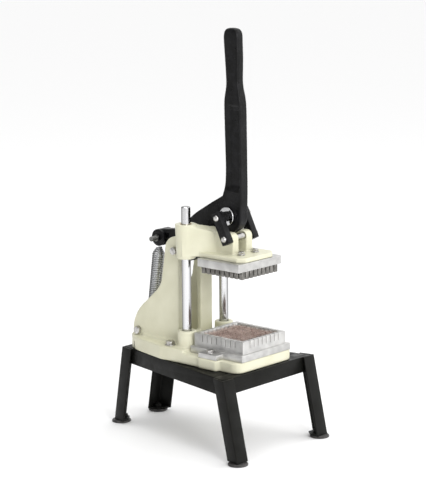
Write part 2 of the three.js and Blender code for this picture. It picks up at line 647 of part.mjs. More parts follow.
// The origin goes under the middle of the machine, between the front and rear feet.
const frontReach = FOOT_BOLTS[0][1] - PAD_RADIUS;
const rearReach = FOOT_BOLTS[1][1] + PAD_RADIUS;
machine.position.y = -(frontReach + rearReach) / 2;

const dicer = new THREE.Group();
dicer.add(machine);
export default dicer;
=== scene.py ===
# %% [markdown]
# # A bench vegetable dicer
# A hand lever pushes a block of square fingers through a square grid of blades. The working
# model already fixes every size, pivot and bolt. This notebook dresses it: each cell makes one
# piece or one finish, and says how it is made and why.

# %% Load the working model
import math

import bmesh
import bpy
import numpy as np
from mathutils import Matrix, Vector


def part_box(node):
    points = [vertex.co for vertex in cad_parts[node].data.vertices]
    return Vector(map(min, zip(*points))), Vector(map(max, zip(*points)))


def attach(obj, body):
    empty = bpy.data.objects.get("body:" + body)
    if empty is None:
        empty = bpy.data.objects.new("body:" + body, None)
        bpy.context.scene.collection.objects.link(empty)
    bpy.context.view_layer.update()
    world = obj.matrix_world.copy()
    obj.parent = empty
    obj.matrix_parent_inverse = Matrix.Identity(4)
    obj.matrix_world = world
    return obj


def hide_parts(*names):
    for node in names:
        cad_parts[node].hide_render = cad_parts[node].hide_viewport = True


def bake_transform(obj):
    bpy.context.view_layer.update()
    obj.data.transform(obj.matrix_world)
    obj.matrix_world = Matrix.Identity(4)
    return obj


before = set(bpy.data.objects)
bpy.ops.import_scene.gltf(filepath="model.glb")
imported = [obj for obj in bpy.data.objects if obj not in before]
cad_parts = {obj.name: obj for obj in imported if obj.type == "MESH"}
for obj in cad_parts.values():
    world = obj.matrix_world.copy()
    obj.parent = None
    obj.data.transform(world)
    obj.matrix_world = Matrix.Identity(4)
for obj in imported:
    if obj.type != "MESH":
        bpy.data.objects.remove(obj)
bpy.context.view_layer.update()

# %% [markdown]
# A maker measures this machine in millimetres from the middle of the blade grid, with heights
# from the bench. Blender works in metres, so one function turns the first into the second, and
# it is the only place where the two meet. The middle of the grid is read from the model.

# %% Millimetres from the blade grid to metres in the scene
MM = 0.001
grid_low, grid_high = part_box("blade_grid")
GRID_MIDDLE = np.array([0.0, (grid_low.y + grid_high.y) / 2, 0.0])


def metres(points):
    """A point or an array of points: millimetres times 0.001, moved to the blade grid's middle."""
    return np.asarray(points, float) * MM + GRID_MIDDLE


print("blade grid's middle at y =", round(GRID_MIDDLE[1], 4), "m")

# %% [markdown]
# ## Camera
# The camera stands a little over three metres off, low and to the left of the operator, with a
# long lens, so upright lines stay nearly upright. Its place comes from an azimuth, an elevation
# and a distance about one aiming point, which is easier to adjust than three coordinates.

# %% Camera
AZIMUTH = math.radians(-48.058)
ELEVATION = math.radians(11.49)
ROLL = math.radians(-0.455)
DISTANCE = 3.12891
AIM = Vector((0.0171, 0.0011, 0.29288))
LENS = 143.72
SENSOR = 36.0

backward = Vector((
    math.sin(AZIMUTH) * math.cos(ELEVATION),
    -math.cos(AZIMUTH) * math.cos(ELEVATION),
    math.sin(ELEVATION),
))
level = Vector((math.cos(AZIMUTH), math.sin(AZIMUTH), 0.0))
upward = backward.cross(level)
right = level * math.cos(ROLL) + upward * math.sin(ROLL)
above = upward * math.cos(ROLL) - level * math.sin(ROLL)

lens = bpy.data.cameras.new("camera")
lens.lens = LENS
lens.sensor_fit = "AUTO"
lens.sensor_width = SENSOR
lens.clip_end = 120.0
camera = bpy.data.objects.new("camera", lens)
turn = Matrix((right, above, backward)).transposed().to_4x4()
camera.matrix_world = Matrix.Translation(AIM + backward * DISTANCE) @ turn
bpy.context.scene.collection.objects.link(camera)
bpy.context.scene.camera = camera
print("camera at", [round(value, 3) for value in camera.matrix_world.translation])

# %% [markdown]
# ## Light and floor
# Product pictures of kitchen tools are taken in a white cove: everything around is bright, so
# tops mirror the white and look pale, while black sides stay black. The world here is a white
# dome that is brightest in front on the right and darker behind on the left, where the room's
# dark side would be. One large lamp in front models the castings, and a softer one above
# lights the ledges.

# %% World, lamps and floor
BRIGHT_SIDE = (0.72, -0.69, 0.0)
DARKEST = 0.34
BRIGHTEST = 1.55

world = bpy.data.worlds.new("studio")
world.use_nodes = True
dome = world.node_tree
sky = dome.nodes["Background"]
sky.inputs["Color"].default_value = (1.0, 1.0, 1.0, 1.0)
direction = dome.nodes.new("ShaderNodeTexCoord")
toward_bright = dome.nodes.new("ShaderNodeVectorMath")
toward_bright.operation = "DOT_PRODUCT"
toward_bright.inputs[1].default_value = BRIGHT_SIDE
dome.links.new(direction.outputs["Generated"], toward_bright.inputs[0])
dome_light = dome.nodes.new("ShaderNodeMapRange")
dome_light.interpolation_type = "SMOOTHSTEP"
dome_light.inputs["From Min"].default_value = -0.85
dome_light.inputs["From Max"].default_value = 0.75
dome_light.inputs["To Min"].default_value = DARKEST
dome_light.inputs["To Max"].default_value = BRIGHTEST
dome.links.new(toward_bright.outputs["Value"], dome_light.inputs["Value"])
dome.links.new(dome_light.outputs["Result"], sky.inputs["Strength"])
bpy.context.scene.world = world
bpy.context.scene.view_settings.view_transform = "Standard"


def soft_lamp(name, place, aim, size, power):
    """A square lamp of the given size at place, turned so that its face looks at aim."""
    lamp = bpy.data.lights.new(name, "AREA")
    lamp.size = size
    lamp.energy = power
    holder = bpy.data.objects.new(name, lamp)
    toward = (Vector(aim) - Vector(place)).normalized()
    facing = toward.to_track_quat("-Z", "Y").to_matrix().to_4x4()
    holder.matrix_world = Matrix.Translation(Vector(place)) @ facing
    bpy.context.scene.collection.objects.link(holder)
    return holder


soft_lamp("lamp_front", (-1.0, -2.3, 1.2), (0, 0, 0.3), 0.9, 24)
soft_lamp("lamp_above", (-0.2, 0.2, 2.4), (0, 0, 0.2), 1.6, 14)

FLOOR_REACH = 45.0
floor_mesh = bpy.data.meshes.new("floor")
floor_corners = FLOOR_REACH * np.array([(-1, -1, 0), (1, -1, 0), (1, 1, 0), (-1, 1, 0)])
floor_mesh.from_pydata(floor_corners.tolist(), [], [(0, 1, 2, 3)])
floor = bpy.data.objects.new("floor", floor_mesh)
bpy.context.scene.collection.objects.link(floor)
paper = bpy.data.materials.new("pale_floor")
paper.use_nodes = True
paper_shader = paper.node_tree.nodes["Principled BSDF"]
paper_shader.inputs["Base Color"].default_value = (0.97, 0.97, 0.97, 1.0)
paper_shader.inputs["Roughness"].default_value = 1.0
paper_shader.inputs["Specular IOR Level"].default_value = 0.0
floor_mesh.materials.append(paper)

# %% [markdown]
# ## Finishes
# Every finish starts from the same shader, and small helpers add what paint and metal really
# show: grains of colour, patches that are duller than others, and a skin that is not quite
# flat. Patterns read Object coordinates, in metres, so a scale of 400 makes grains of about
# 2.5 mm on every piece alike.

# %% Helpers for finishes
def new_finish(name, colour, roughness, metallic=0.0, shine=0.5):
    """A material whose whole-surface values sit on the shader's own sockets."""
    made = bpy.data.materials.new(name)
    made.use_nodes = True
    shader = made.node_tree.nodes["Principled BSDF"]
    shader.inputs["Base Color"].default_value = (*colour, 1.0)
    shader.inputs["Roughness"].default_value = roughness
    shader.inputs["Metallic"].default_value = metallic
    shader.inputs["Specular IOR Level"].default_value = shine
    return made


def grain(finish, scale, detail=4.0, stretch=(1.0, 1.0, 1.0), centre=0.5, width=0.3):
    """Noise on Object coordinates, stretched along an axis, spread from 0 to 1 about its centre."""
    tree = finish.node_tree
    place = tree.nodes.new("ShaderNodeTexCoord")
    mapping = tree.nodes.new("ShaderNodeMapping")
    mapping.inputs["Scale"].default_value = stretch
    noise = tree.nodes.new("ShaderNodeTexNoise")
    noise.inputs["Scale"].default_value = scale
    noise.inputs["Detail"].default_value = detail
    spread = tree.nodes.new("ShaderNodeMapRange")
    spread.inputs["From Min"].default_value = centre - width / 2
    spread.inputs["From Max"].default_value = centre + width / 2
    tree.links.new(place.outputs["Object"], mapping.inputs["Vector"])
    tree.links.new(mapping.outputs["Vector"], noise.inputs["Vector"])
    tree.links.new(noise.outputs["Fac"], spread.inputs["Value"])
    return spread.outputs["Result"]


def two_colours(finish, pattern, first, second):
    """Base colour runs from the first colour to the second as the pattern runs from 0 to 1."""
    tree = finish.node_tree
    mix = tree.nodes.new("ShaderNodeMix")
    mix.data_type = "RGBA"
    mix.inputs["A"].default_value = (*first, 1.0)
    mix.inputs["B"].default_value = (*second, 1.0)
    tree.links.new(pattern, mix.inputs["Factor"])
    tree.links.new(mix.outputs["Result"], tree.nodes["Principled BSDF"].inputs["Base Color"])
    return mix


def two_gloss(finish, pattern, low, high):
    """Roughness runs from low to high as the pattern runs from 0 to 1."""
    tree = finish.node_tree
    spread = tree.nodes.new("ShaderNodeMapRange")
    spread.inputs["To Min"].default_value = low
    spread.inputs["To Max"].default_value = high
    tree.links.new(pattern, spread.inputs["Value"])
    tree.links.new(spread.outputs["Result"], tree.nodes["Principled BSDF"].inputs["Roughness"])


def raised(finish, pattern, strength, depth):
    """The pattern lifts the skin by up to depth metres; a second call lies on top of the first."""
    tree = finish.node_tree
    shader = tree.nodes["Principled BSDF"]
    bump = tree.nodes.new("ShaderNodeBump")
    bump.inputs["Strength"].default_value = strength
    bump.inputs["Distance"].default_value = depth
    tree.links.new(pattern, bump.inputs["Height"])
    if shader.inputs["Normal"].is_linked:
        tree.links.new(shader.inputs["Normal"].links[0].from_socket, bump.inputs["Normal"])
    tree.links.new(bump.outputs["Normal"], shader.inputs["Normal"])


def edge_tone(finish, mix, tone, low, high, share):
    """Where the surface folds outwards or inwards, the colour moves to tone by up to share.
    A lighter tone on outer edges stands for rubbed paint; a darker tone in inside corners is painted
    shade.
    """
    tree = finish.node_tree
    geometry = tree.nodes.new("ShaderNodeNewGeometry")
    spread = tree.nodes.new("ShaderNodeMapRange")
    spread.inputs["From Min"].default_value = low
    spread.inputs["From Max"].default_value = high
    spread.inputs["To Max"].default_value = share
    wear_and_painted_shade = tree.nodes.new("ShaderNodeMix")
    wear_and_painted_shade.data_type = "RGBA"
    wear_and_painted_shade.inputs["B"].default_value = (*tone, 1.0)
    tree.links.new(geometry.outputs["Pointiness"], spread.inputs["Value"])
    tree.links.new(spread.outputs["Result"], wear_and_painted_shade.inputs["Factor"])
    tree.links.new(mix.outputs["Result"], wear_and_painted_shade.inputs["A"])
    tree.links.new(wear_and_painted_shade.outputs["Result"], tree.nodes["Principled BSDF"].inputs["Base Color"])
    return wear_and_painted_shade


print("finish helpers ready")

# %% [markdown]
# The castings are sprayed with a thick cream enamel that runs a little before it sets. Two
# tones drift into each other in large soft clouds, fine pimples stand for the skin known as
# orange peel, and inside corners are painted darker: painted shade where junctions get less light.

# %% Cream enamel
cream = new_finish("cream_enamel", (0.68, 0.665, 0.51), 0.34, shine=0.45)
cream_mix = two_colours(cream, grain(cream, 26, 3.0), (0.635, 0.62, 0.465), (0.69, 0.675, 0.52))
# Inside corners, where pointiness is low, move towards a dark tone: painted shade.
edge_tone(cream, cream_mix, (0.34, 0.33, 0.24), 0.47, 0.40, 0.6)
two_gloss(cream, grain(cream, 60, 4.0), 0.28, 0.44)
raised(cream, grain(cream, 420, 2.0), 0.18, 0.0002)
print("cream enamel", len(cream.node_tree.nodes), "nodes")

# %% [markdown]
# The lever and the stand are black. The lever is sprayed over a rough casting, so its shine
# breaks into sparks, while the rolled steel of the stand is smoother with dusty, scuffed
# patches. Black paint gets almost all of its brightness from the shine, so the shader's
# specular level is set low and decides how grey a face looks.

# %% Black enamels
black = new_finish("black_enamel", (0.004, 0.004, 0.005), 0.30, shine=0.17)
black_mix = two_colours(black, grain(black, 70, 5.0), (0.003, 0.003, 0.003), (0.008, 0.008, 0.009))
edge_tone(black, black_mix, (0.06, 0.06, 0.065), 0.535, 0.60, 0.4)
two_gloss(black, grain(black, 120, 5.0), 0.26, 0.46)
raised(black, grain(black, 330, 4.0), 0.40, 0.0004)
raised(black, grain(black, 900, 2.0), 0.25, 0.0002)

stand_black = new_finish("stand_enamel", (0.006, 0.006, 0.006), 0.32, shine=0.12)
two_colours(
    stand_black, grain(stand_black, 45, 6.0), (0.004, 0.004, 0.003), (0.009, 0.009, 0.008))
two_gloss(stand_black, grain(stand_black, 90, 5.0), 0.30, 0.50)
raised(stand_black, grain(stand_black, 500, 3.0), 0.22, 0.0002)
print("black enamels", black.name, stand_black.name)

# %% [markdown]
# Bare metals differ in how they were made. Ground and chromed rods are almost mirrors with
# faint marks round them, zinc-plated bolts are duller, cast aluminium is grainy and pale, and
# the blades are ground along their length. Seen from the side, a plated bar goes darker towards
# its edges, where it mirrors darker surroundings; the chrome and the spring wire have that
# reflection painted in, a dark tone mixed in where the surface turns away from the viewer.

# %% Metals
def painted_rim_reflection(finish, centre_tone, rim_tone, start, end):
    """A painted reflection: base colour runs from the centre's tone to the rim's as the surface
    turns away, as a bright bar mirrors darker surroundings at its edges. The layer weight's
    facing value is 0 straight on and 1 at the rim."""
    tree = finish.node_tree
    weight = tree.nodes.new("ShaderNodeLayerWeight")
    weight.inputs["Blend"].default_value = 0.5
    spread = tree.nodes.new("ShaderNodeMapRange")
    spread.inputs["From Min"].default_value = start
    spread.inputs["From Max"].default_value = end
    tree.links.new(weight.outputs["Facing"], spread.inputs["Value"])
    return two_colours(finish, spread.outputs["Result"], centre_tone, rim_tone)


chrome = new_finish("hard_chrome", (0.80, 0.80, 0.82), 0.16, metallic=1.0)
# Painted reflection: the rods go darker towards their edges as they turn away.
painted_rim_reflection(chrome, (0.72, 0.72, 0.73), (0.14, 0.14, 0.14), 0.10, 0.62)
two_gloss(chrome, grain(chrome, 60, 5.0, stretch=(1, 1, 6)), 0.10, 0.22)
raised(chrome, grain(chrome, 900, 2.0, stretch=(1, 1, 5)), 0.06, 0.0001)

zinc = new_finish("zinc_plate", (0.52, 0.51, 0.49), 0.28, metallic=1.0)
two_colours(zinc, grain(zinc, 240, 4.0), (0.40, 0.39, 0.38), (0.62, 0.61, 0.59))
two_gloss(zinc, grain(zinc, 300, 4.0), 0.20, 0.40)
raised(zinc, grain(zinc, 900, 3.0), 0.15, 0.0001)

dull_steel = new_finish("dull_steel", (0.14, 0.14, 0.14), 0.42, metallic=1.0)
two_colours(dull_steel, grain(dull_steel, 260, 4.0), (0.10, 0.10, 0.10), (0.22, 0.22, 0.21))

alloy = new_finish("cast_aluminium", (0.48, 0.48, 0.48), 0.44, metallic=1.0)
two_colours(alloy, grain(alloy, 90, 6.0), (0.50, 0.495, 0.485), (0.64, 0.635, 0.62))
two_gloss(alloy, grain(alloy, 180, 5.0), 0.36, 0.58)
raised(alloy, grain(alloy, 500, 4.0), 0.35, 0.0003)

finger_alloy = new_finish("finger_aluminium", (0.28, 0.26, 0.25), 0.5, metallic=1.0)
two_colours(finger_alloy, grain(finger_alloy, 160, 5.0), (0.15, 0.145, 0.135), (0.27, 0.26, 0.245))
raised(finger_alloy, grain(finger_alloy, 500, 4.0), 0.4, 0.0003)

blade_steel = new_finish("ground_blades", (0.50, 0.42, 0.38), 0.34, metallic=1.0)
two_colours(blade_steel, grain(blade_steel, 60, 4.0), (0.62, 0.53, 0.49), (0.80, 0.71, 0.67))
two_gloss(blade_steel, grain(blade_steel, 500, 3.0), 0.24, 0.45)

spring_wire = new_finish("spring_wire", (0.60, 0.61, 0.62), 0.26, metallic=1.0)
# Painted reflection: each turn of wire goes darker towards its edges as it turns away.
painted_rim_reflection(spring_wire, (0.74, 0.75, 0.76), (0.05, 0.05, 0.05), 0.14, 0.70)
two_gloss(spring_wire, grain(spring_wire, 400, 3.0), 0.20, 0.36)

bronze = new_finish("bush_bronze", (0.50, 0.33, 0.16), 0.38, metallic=1.0)
two_colours(bronze, grain(bronze, 300, 4.0), (0.44, 0.28, 0.13), (0.58, 0.40, 0.22))
two_gloss(bronze, grain(bronze, 500, 3.0), 0.30, 0.48)

rubber = new_finish("foot_rubber", (0.022, 0.022, 0.022), 0.42, shine=0.35)
two_colours(rubber, grain(rubber, 160, 5.0), (0.026, 0.025, 0.024), (0.064, 0.060, 0.058))
two_gloss(rubber, grain(rubber, 200, 4.0), 0.34, 0.6)
raised(rubber, grain(rubber, 700, 3.0), 0.25, 0.0003)
print("metals and rubber ready")

# %% [markdown]
# ## Surfaces from numbers
# Each new piece is a grid of points. A ring of points is carried along a line, ring by ring,
# and neighbouring rings are joined by four-sided faces. The points are worked out as whole
# arrays, so the formula is visible in one place and nothing loops over vertices.

# %% Rings, skins and pieces
def skin(rings):
    """Points and faces of a closed skin: ring i joins ring i + 1, and a flat face closes each end."""
    count, around = rings.shape[:2]
    row, column = np.meshgrid(np.arange(count - 1), np.arange(around), indexing="ij")
    beside = (column + 1) % around
    corners = (
        row * around + column, row * around + beside,
        (row + 1) * around + beside, (row + 1) * around + column,
    )
    faces = np.stack(corners, -1).reshape(-1, 4).tolist()
    faces.append(list(range(around))[::-1])
    faces.append(list(range((count - 1) * around, count * around)))
    return rings.reshape(-1, 3), faces


def mesh_of(name, skins):
    """One mesh that holds several closed skins, given in millimetres, with outward faces."""
    points = []
    faces = []
    for skin_points, skin_faces in skins:
        start = sum(len(part) for part in points)
        points.append(skin_points)
        faces.extend([[index + start for index in face] for face in skin_faces])
    mesh = bpy.data.meshes.new(name)
    mesh.from_pydata(metres(np.concatenate(points)).tolist(), [], faces)
    edit = bmesh.new()
    edit.from_mesh(mesh)
    bmesh.ops.recalc_face_normals(edit, faces=edit.faces)
    edit.to_mesh(mesh)
    edit.free()
    return mesh


def show(mesh, finish, body, nodes=(), crease=32.0):
    """Puts a finished mesh in the scene: smooth but for creases sharper than the angle given."""
    mesh.materials.clear()
    mesh.materials.append(finish)
    mesh.shade_smooth()
    mesh.set_sharp_from_angle(angle=math.radians(crease))
    made = bpy.data.objects.new(mesh.name, mesh)
    bpy.context.scene.collection.objects.link(made)
    if body:
        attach(made, body)
    if nodes:
        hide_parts(*nodes)
    return made


def turned(profile, centre, axis, around=48):
    """A lathe: ring i has radius profile[i][0], at profile[i][1] along the axis from the centre."""
    profile = np.asarray(profile, float)
    axis = np.asarray(axis, float)
    side = np.cross(axis, (0.0, 1.0, 0.0) if abs(axis[1]) < 0.5 else (1.0, 0.0, 0.0))
    side /= np.linalg.norm(side)
    other = np.cross(axis, side)
    angle = np.linspace(0, 2 * np.pi, around, endpoint=False)
    spoke = np.cos(angle)[:, None] * side + np.sin(angle)[:, None] * other
    reach = np.broadcast_to(profile[:, :1], (len(profile), around))
    rings = reach[..., None] * spoke + profile[:, 1][:, None, None] * axis
    return skin(rings + np.asarray(centre, float))


def rounded(corners, radius, steps=5, closed=True):
    """Each corner of an outline becomes an arc that touches both sides. The arc's centre lies on
    the corner's bisector, at radius / sin(half the corner's angle)."""
    corners = np.asarray(corners, float)
    radius = np.broadcast_to(np.asarray(radius, float), len(corners))[:, None]
    back = np.roll(corners, 1, 0) - corners
    ahead = np.roll(corners, -1, 0) - corners
    back /= np.linalg.norm(back, axis=1, keepdims=True)
    ahead /= np.linalg.norm(ahead, axis=1, keepdims=True)
    half = np.arccos(np.clip((back * ahead).sum(1), -0.9999, 0.9999))[:, None] / 2
    bisector = (back + ahead) / np.linalg.norm(back + ahead, axis=1, keepdims=True)
    middle = corners + bisector * radius / np.sin(half)
    first = corners + back * radius / np.tan(half) - middle
    last = corners + ahead * radius / np.tan(half) - middle
    sweep = (np.pi - 2 * half)[:, None]
    part = np.linspace(0, 1, steps + 1)[None, :, None]
    arc = np.sin((1 - part) * sweep) * first[:, None] + np.sin(part * sweep) * last[:, None]
    points = middle[:, None] + arc / np.sin(sweep)
    if closed:
        return points.reshape(-1, 2)
    return np.concatenate([corners[:1], points[1:-1].reshape(-1, 2), corners[-1:]])


def plate(outline, low, high, edge, across=False, steps=4):
    """An outline carried from low to high. Near each face it draws in by edge * (1 - sin) while it
    rises by edge * (1 - cos), a quarter circle. Across means that the outline is (y, z)."""
    outline = np.asarray(outline, float)
    along = np.roll(outline, -1, 0) - np.roll(outline, 1, 0)
    along /= np.linalg.norm(along, axis=1, keepdims=True)
    ahead = np.roll(outline, -1, 0)
    area = (outline[:, 0] * ahead[:, 1] - ahead[:, 0] * outline[:, 1]).sum()
    inward = np.stack([-along[:, 1], along[:, 0]], 1) * np.sign(area)
    quarter = np.linspace(0, np.pi / 2, steps + 1)
    draw = edge * (1 - np.sin(quarter))
    rise = edge * (1 - np.cos(quarter))
    draws = np.concatenate([draw, draw[::-1]])
    heights = np.concatenate([low + rise, high - rise[::-1]])
    flat = outline + inward * draws[:, None, None]
    height = np.broadcast_to(heights[:, None, None], (*flat.shape[:2], 1))
    parts = (height, flat) if across else (flat, height)
    return skin(np.concatenate(parts, -1))


print("surface helpers ready")

# %% [markdown]
# ## The stand
# The legs are lengths of 25 mm angle iron, cut off level at both ends and leaning outwards in
# the direction of the machine's length. Rolled angle has a rounded heel outside, a larger round
# inside, and soft toes. One outline with arcs is carried up the leg, and each point is then
# moved along by its distance below the top, which is how a leaning leg with level ends looks.

# %% Legs
STAND_TOP = 128.0
PAD_HEIGHT = 4.0
LIFT = 0.3
ANGLE = 25.0
STEEL = 3.0
FRONT_CORNER = (108.6, -60.5)
REAR_CORNER = (51.6, 206.0)
LEANS = {"front": -27.8, "rear": 20.0}
CORNERS = {"front": FRONT_CORNER, "rear": REAR_CORNER}
INTO = {"front": 1, "rear": -1}
SIDES = {"left": -1, "right": 1}

side_run = np.subtract(REAR_CORNER, FRONT_CORNER)
side_run = side_run / np.linalg.norm(side_run)


def leg_outline(end, side, corners, radii):
    """Corners given as (inwards, along the side) from the leg's outer corner, as a plan."""
    x, y = CORNERS[end]
    run = side_run * INTO[end]
    plan = [(side * (x - a + run[0] * b), y + run[1] * b) for a, b in corners]
    return rounded(plan, radii, 4)


def leaning(part, end):
    """Each point moves along y by the lean times its share of the depth below the stand's top."""
    points, faces = part
    share = (STAND_TOP - points[:, 2]) / (STAND_TOP - PAD_HEIGHT)
    return points + share[:, None] * (0.0, LEANS[end], 0.0), faces


heel = STEEL / side_run[1]
bar_corners = [(0, 0), (ANGLE, 0), (ANGLE, heel), (heel, heel), (heel, ANGLE), (0, ANGLE)]
bar_radii = [1.6, 0.5, 1.2, 2.6, 1.2, 0.5]
tab_corners = [(heel - 1, heel - 1), (ANGLE - 1, heel - 1), (ANGLE - 1, ANGLE * 0.55),
               (ANGLE * 0.55, ANGLE - 1), (heel - 1, ANGLE - 1)]
foot_line = PAD_HEIGHT + LIFT
for end in CORNERS:
    for hand, side in SIDES.items():
        bar = plate(leg_outline(end, side, bar_corners, bar_radii), foot_line, STAND_TOP, 0.35)
        tab = plate(leg_outline(end, side, tab_corners, 1.5), foot_line, foot_line + STEEL, 0.4)
        leg_mesh = mesh_of(f"angle_leg_{end}_{hand}", [leaning(bar, end), leaning(tab, end)])
        show(leg_mesh, stand_black, "frame", [f"leg_{end}_{hand}"])
print("legs lean", LEANS, "mm over", STAND_TOP - PAD_HEIGHT, "mm")

# %% [markdown]
# The rails are angle iron too, but they are notched where they meet and drilled for the bolts.
# Copying the working part keeps every notch and hole. Its loose triangles are merged into one
# skin and flat areas are cleared of lines, and then a small bevel breaks each sharp edge.

# %% Rails, and other parts that only need broken edges
def merged_copy(node):
    """A copy of a working part's mesh with its doubled points merged and flat areas cleared."""
    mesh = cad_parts[node].data.copy()
    edit = bmesh.new()
    edit.from_mesh(mesh)
    bmesh.ops.remove_doubles(edit, verts=edit.verts, dist=2e-6)
    bmesh.ops.dissolve_limit(
        edit, angle_limit=math.radians(1), verts=edit.verts, edges=edit.edges)
    edit.to_mesh(mesh)
    edit.free()
    return mesh


def with_modifiers(mesh, name, settings):
    """The mesh after a list of (modifier type, its settings), made final."""
    holder = bpy.data.objects.new(name, mesh)
    bpy.context.scene.collection.objects.link(holder)
    for kind, values in settings:
        modifier = holder.modifiers.new(kind.lower(), kind)
        for key, value in values.items():
            setattr(modifier, key, value)
    seen = holder.evaluated_get(bpy.context.evaluated_depsgraph_get())
    final = bpy.data.meshes.new_from_object(seen)
    final.name = name
    bpy.data.objects.remove(holder)
    return final


def broken_edges(node, name, width, steps=2):
    """A merged copy whose edges sharper than 30 degrees are bevelled by width millimetres."""
    settings = {"width": width * MM, "segments": steps, "limit_method": "ANGLE",
                "angle_limit": math.radians(30)}
    return with_modifiers(merged_copy(node), name, [("BEVEL", settings)])


for place in ("front", "rear", "left", "right"):
    rail = broken_edges(f"rail_{place}", f"angle_rail_{place}", 0.6)
    show(rail, stand_black, "frame", [f"rail_{place}"])
    print("rail", place, len(rail.polygons), "faces")

# %% [markdown]
# Each foot is a moulded rubber disc with a rounded shoulder, a shallow groove round it and a
# dish on top. A disc like that is a lathe shape: a profile of radius against height, turned
# about an upright axis. Its screw comes up through the leg's tab into a nut.

# %% Feet
PAD_RADIUS = 15.5
SCREW_INSET = 3.5
PADS = {"front": (97.7, -80.3), "rear": (43.2, 218.1)}
UP = (0.0, 0.0, 1.0)

pad_profile = rounded(
    [(0.05, 0.2), (PAD_RADIUS - 1.2, 0.2), (PAD_RADIUS, 1.0), (PAD_RADIUS, 2.0),
     (PAD_RADIUS - 0.5, 2.3), (PAD_RADIUS - 0.3, 2.9), (PAD_RADIUS - 1.8, PAD_HEIGHT),
     (PAD_RADIUS - 3.4, PAD_HEIGHT), (PAD_RADIUS - 4.2, 3.5), (9.5, 3.5), (9.0, PAD_HEIGHT),
     (0.05, PAD_HEIGHT)], 0.35, 3, False)


def hexagon_reach(angle, corner):
    """Distance from the middle to a hexagon's edge: the flat's distance over the cosine of the
    angle from the middle of that flat."""
    return corner * math.cos(math.pi / 6) / np.cos(np.mod(angle, np.pi / 3) - np.pi / 6)


def hexagon_block(centre, axis, corner, height, bore=0.0, around=48):
    """A bolt's head or a nut: a hexagon whose corners are cut by a cone of 30 degrees at the top,
    so each ring's reach is the smaller of the hexagon's and the cone's."""
    axis = np.asarray(axis, float)
    side = np.cross(axis, (0.0, 1.0, 0.0) if abs(axis[1]) < 0.5 else (1.0, 0.0, 0.0))
    other = np.cross(axis, side)
    angle = np.linspace(0, 2 * np.pi, around, endpoint=False)
    spoke = np.cos(angle)[:, None] * side + np.sin(angle)[:, None] * other
    rise = height * np.array([0.0, 0.04, 0.5, 0.68, 0.76, 0.84, 0.92, 0.98, 1.0])
    cone = corner * np.array([0.90, 0.96, 1.1, 1.1, 1.0, 0.965, 0.925, 0.885, 0.84])
    reach = np.minimum(hexagon_reach(angle, corner)[None], cone[:, None])
    rings = reach[..., None] * spoke + rise[:, None, None] * axis + np.asarray(centre, float)
    return skin(rings)


def washer(centre, axis, radius, thickness):
    """A pressed washer: a flat disc with a rounded rim."""
    profile = rounded([(0.05, 0), (radius, 0), (radius, thickness), (0.05, thickness)],
                      [0, 0.3, 0.6, 0], 4, False)
    return turned(profile, centre, axis, 40)


def thread(centre, axis, radius, start, end, pitch=1.25):
    """A screw's end: the radius swings between its crest and its root once per pitch, and the
    last turn is cut to a cone."""
    height = np.arange(start, end, pitch / 4)
    swing = 0.5 - 0.5 * np.cos(2 * np.pi * height / pitch)
    reach = radius - 0.3 * swing
    reach = np.minimum(reach, radius - 1.0 + (end - height) * 0.9)
    profile = np.concatenate([[[0.05, start]], np.stack([reach, height], 1),
                              [[radius - 1.1, end], [0.05, end]]])
    return turned(profile, centre, axis, 24)


for end, (pad_x, pad_y) in PADS.items():
    for hand, side in SIDES.items():
        centre = (side * pad_x, pad_y, 0.0)
        pad = mesh_of(f"rubber_foot_{end}_{hand}", [turned(pad_profile, centre, UP, 64)])
        show(pad, rubber, "frame", [f"foot_{end}_{hand}"])
        screw_x = side * (pad_x - SCREW_INSET)
        screw_y = pad_y + INTO[end] * SCREW_INSET
        seat = foot_line + STEEL + LIFT
        screw = mesh_of(f"foot_bolt_{end}_{hand}", [
            washer((screw_x, screw_y, seat), UP, 5.6, 0.9),
            hexagon_block((screw_x, screw_y, seat + 0.8), UP, 5.6, 4.2),
            thread((screw_x, screw_y, 0), UP, 3.0, 1.0, seat + 7),
            hexagon_block((screw_x, screw_y, 0.5), UP, 5.3, 1.6),
        ])
        show(screw, stand_black, "frame", [f"foot_screw_{end}_{hand}"])
print("feet at", PADS)

# %% [markdown]
# ## Base and column
# The base, its column and its rod bosses are one iron casting. In a sand mould no inside corner
# stays sharp, so every junction has a fillet and every edge a round. Sculptors get the same
# look by rebuilding the solid from small cubes and then relaxing it. A few passes of smoothing
# act on a distance of two or three millimetres, which is a foundry's usual fillet, and leave
# the flat faces flat.

# %% Fillets all over: rebuild from cubes, then relax
def as_cast(mesh, name, cube, passes):
    """A closed mesh rebuilt from cubes of the given size in millimetres. Each pass then moves a
    point halfway to the mean of its neighbours."""
    rebuild = {"mode": "VOXEL", "voxel_size": cube * MM, "adaptivity": 0.0}
    relax = {"factor": 0.5, "iterations": passes}
    return with_modifiers(mesh, name, [("REMESH", rebuild), ("SMOOTH", relax)])


base = as_cast(merged_copy("base_casting"), "base_and_column", 1.35, 7)
show(base, cream, "frame", ["base_casting"], crease=80)
print("base casting", len(base.polygons), "faces")

# %% [markdown]
# ## Carriage
# The carriage slides on the two rods. It is cast and painted like the base, so it is made the
# same way. Cubes are smaller here, because its ribs and the lip of its plate are finer.

# %% Carriage
carriage = as_cast(merged_copy("carriage_casting"), "carriage_body", 0.95, 6)
show(carriage, cream, "carriage", ["carriage_casting"], crease=80)
print("carriage casting", len(carriage.polygons), "faces")

# %% [markdown]
# ## Lever
# The lever is one long casting: a grip with full, hand-friendly rounds, a waist, a deeper bar
# with a sunk panel on each side, a hub for the links, and an arm that runs back over the pivot
# to a forked boss for the spring. The handle is a loft. At each height a rounded rectangle is
# fitted between a front line and a rear line, and the panel is pressed into its two flat sides
# with smooth ramps. That gives full control of the outline, which simple boxes would not.

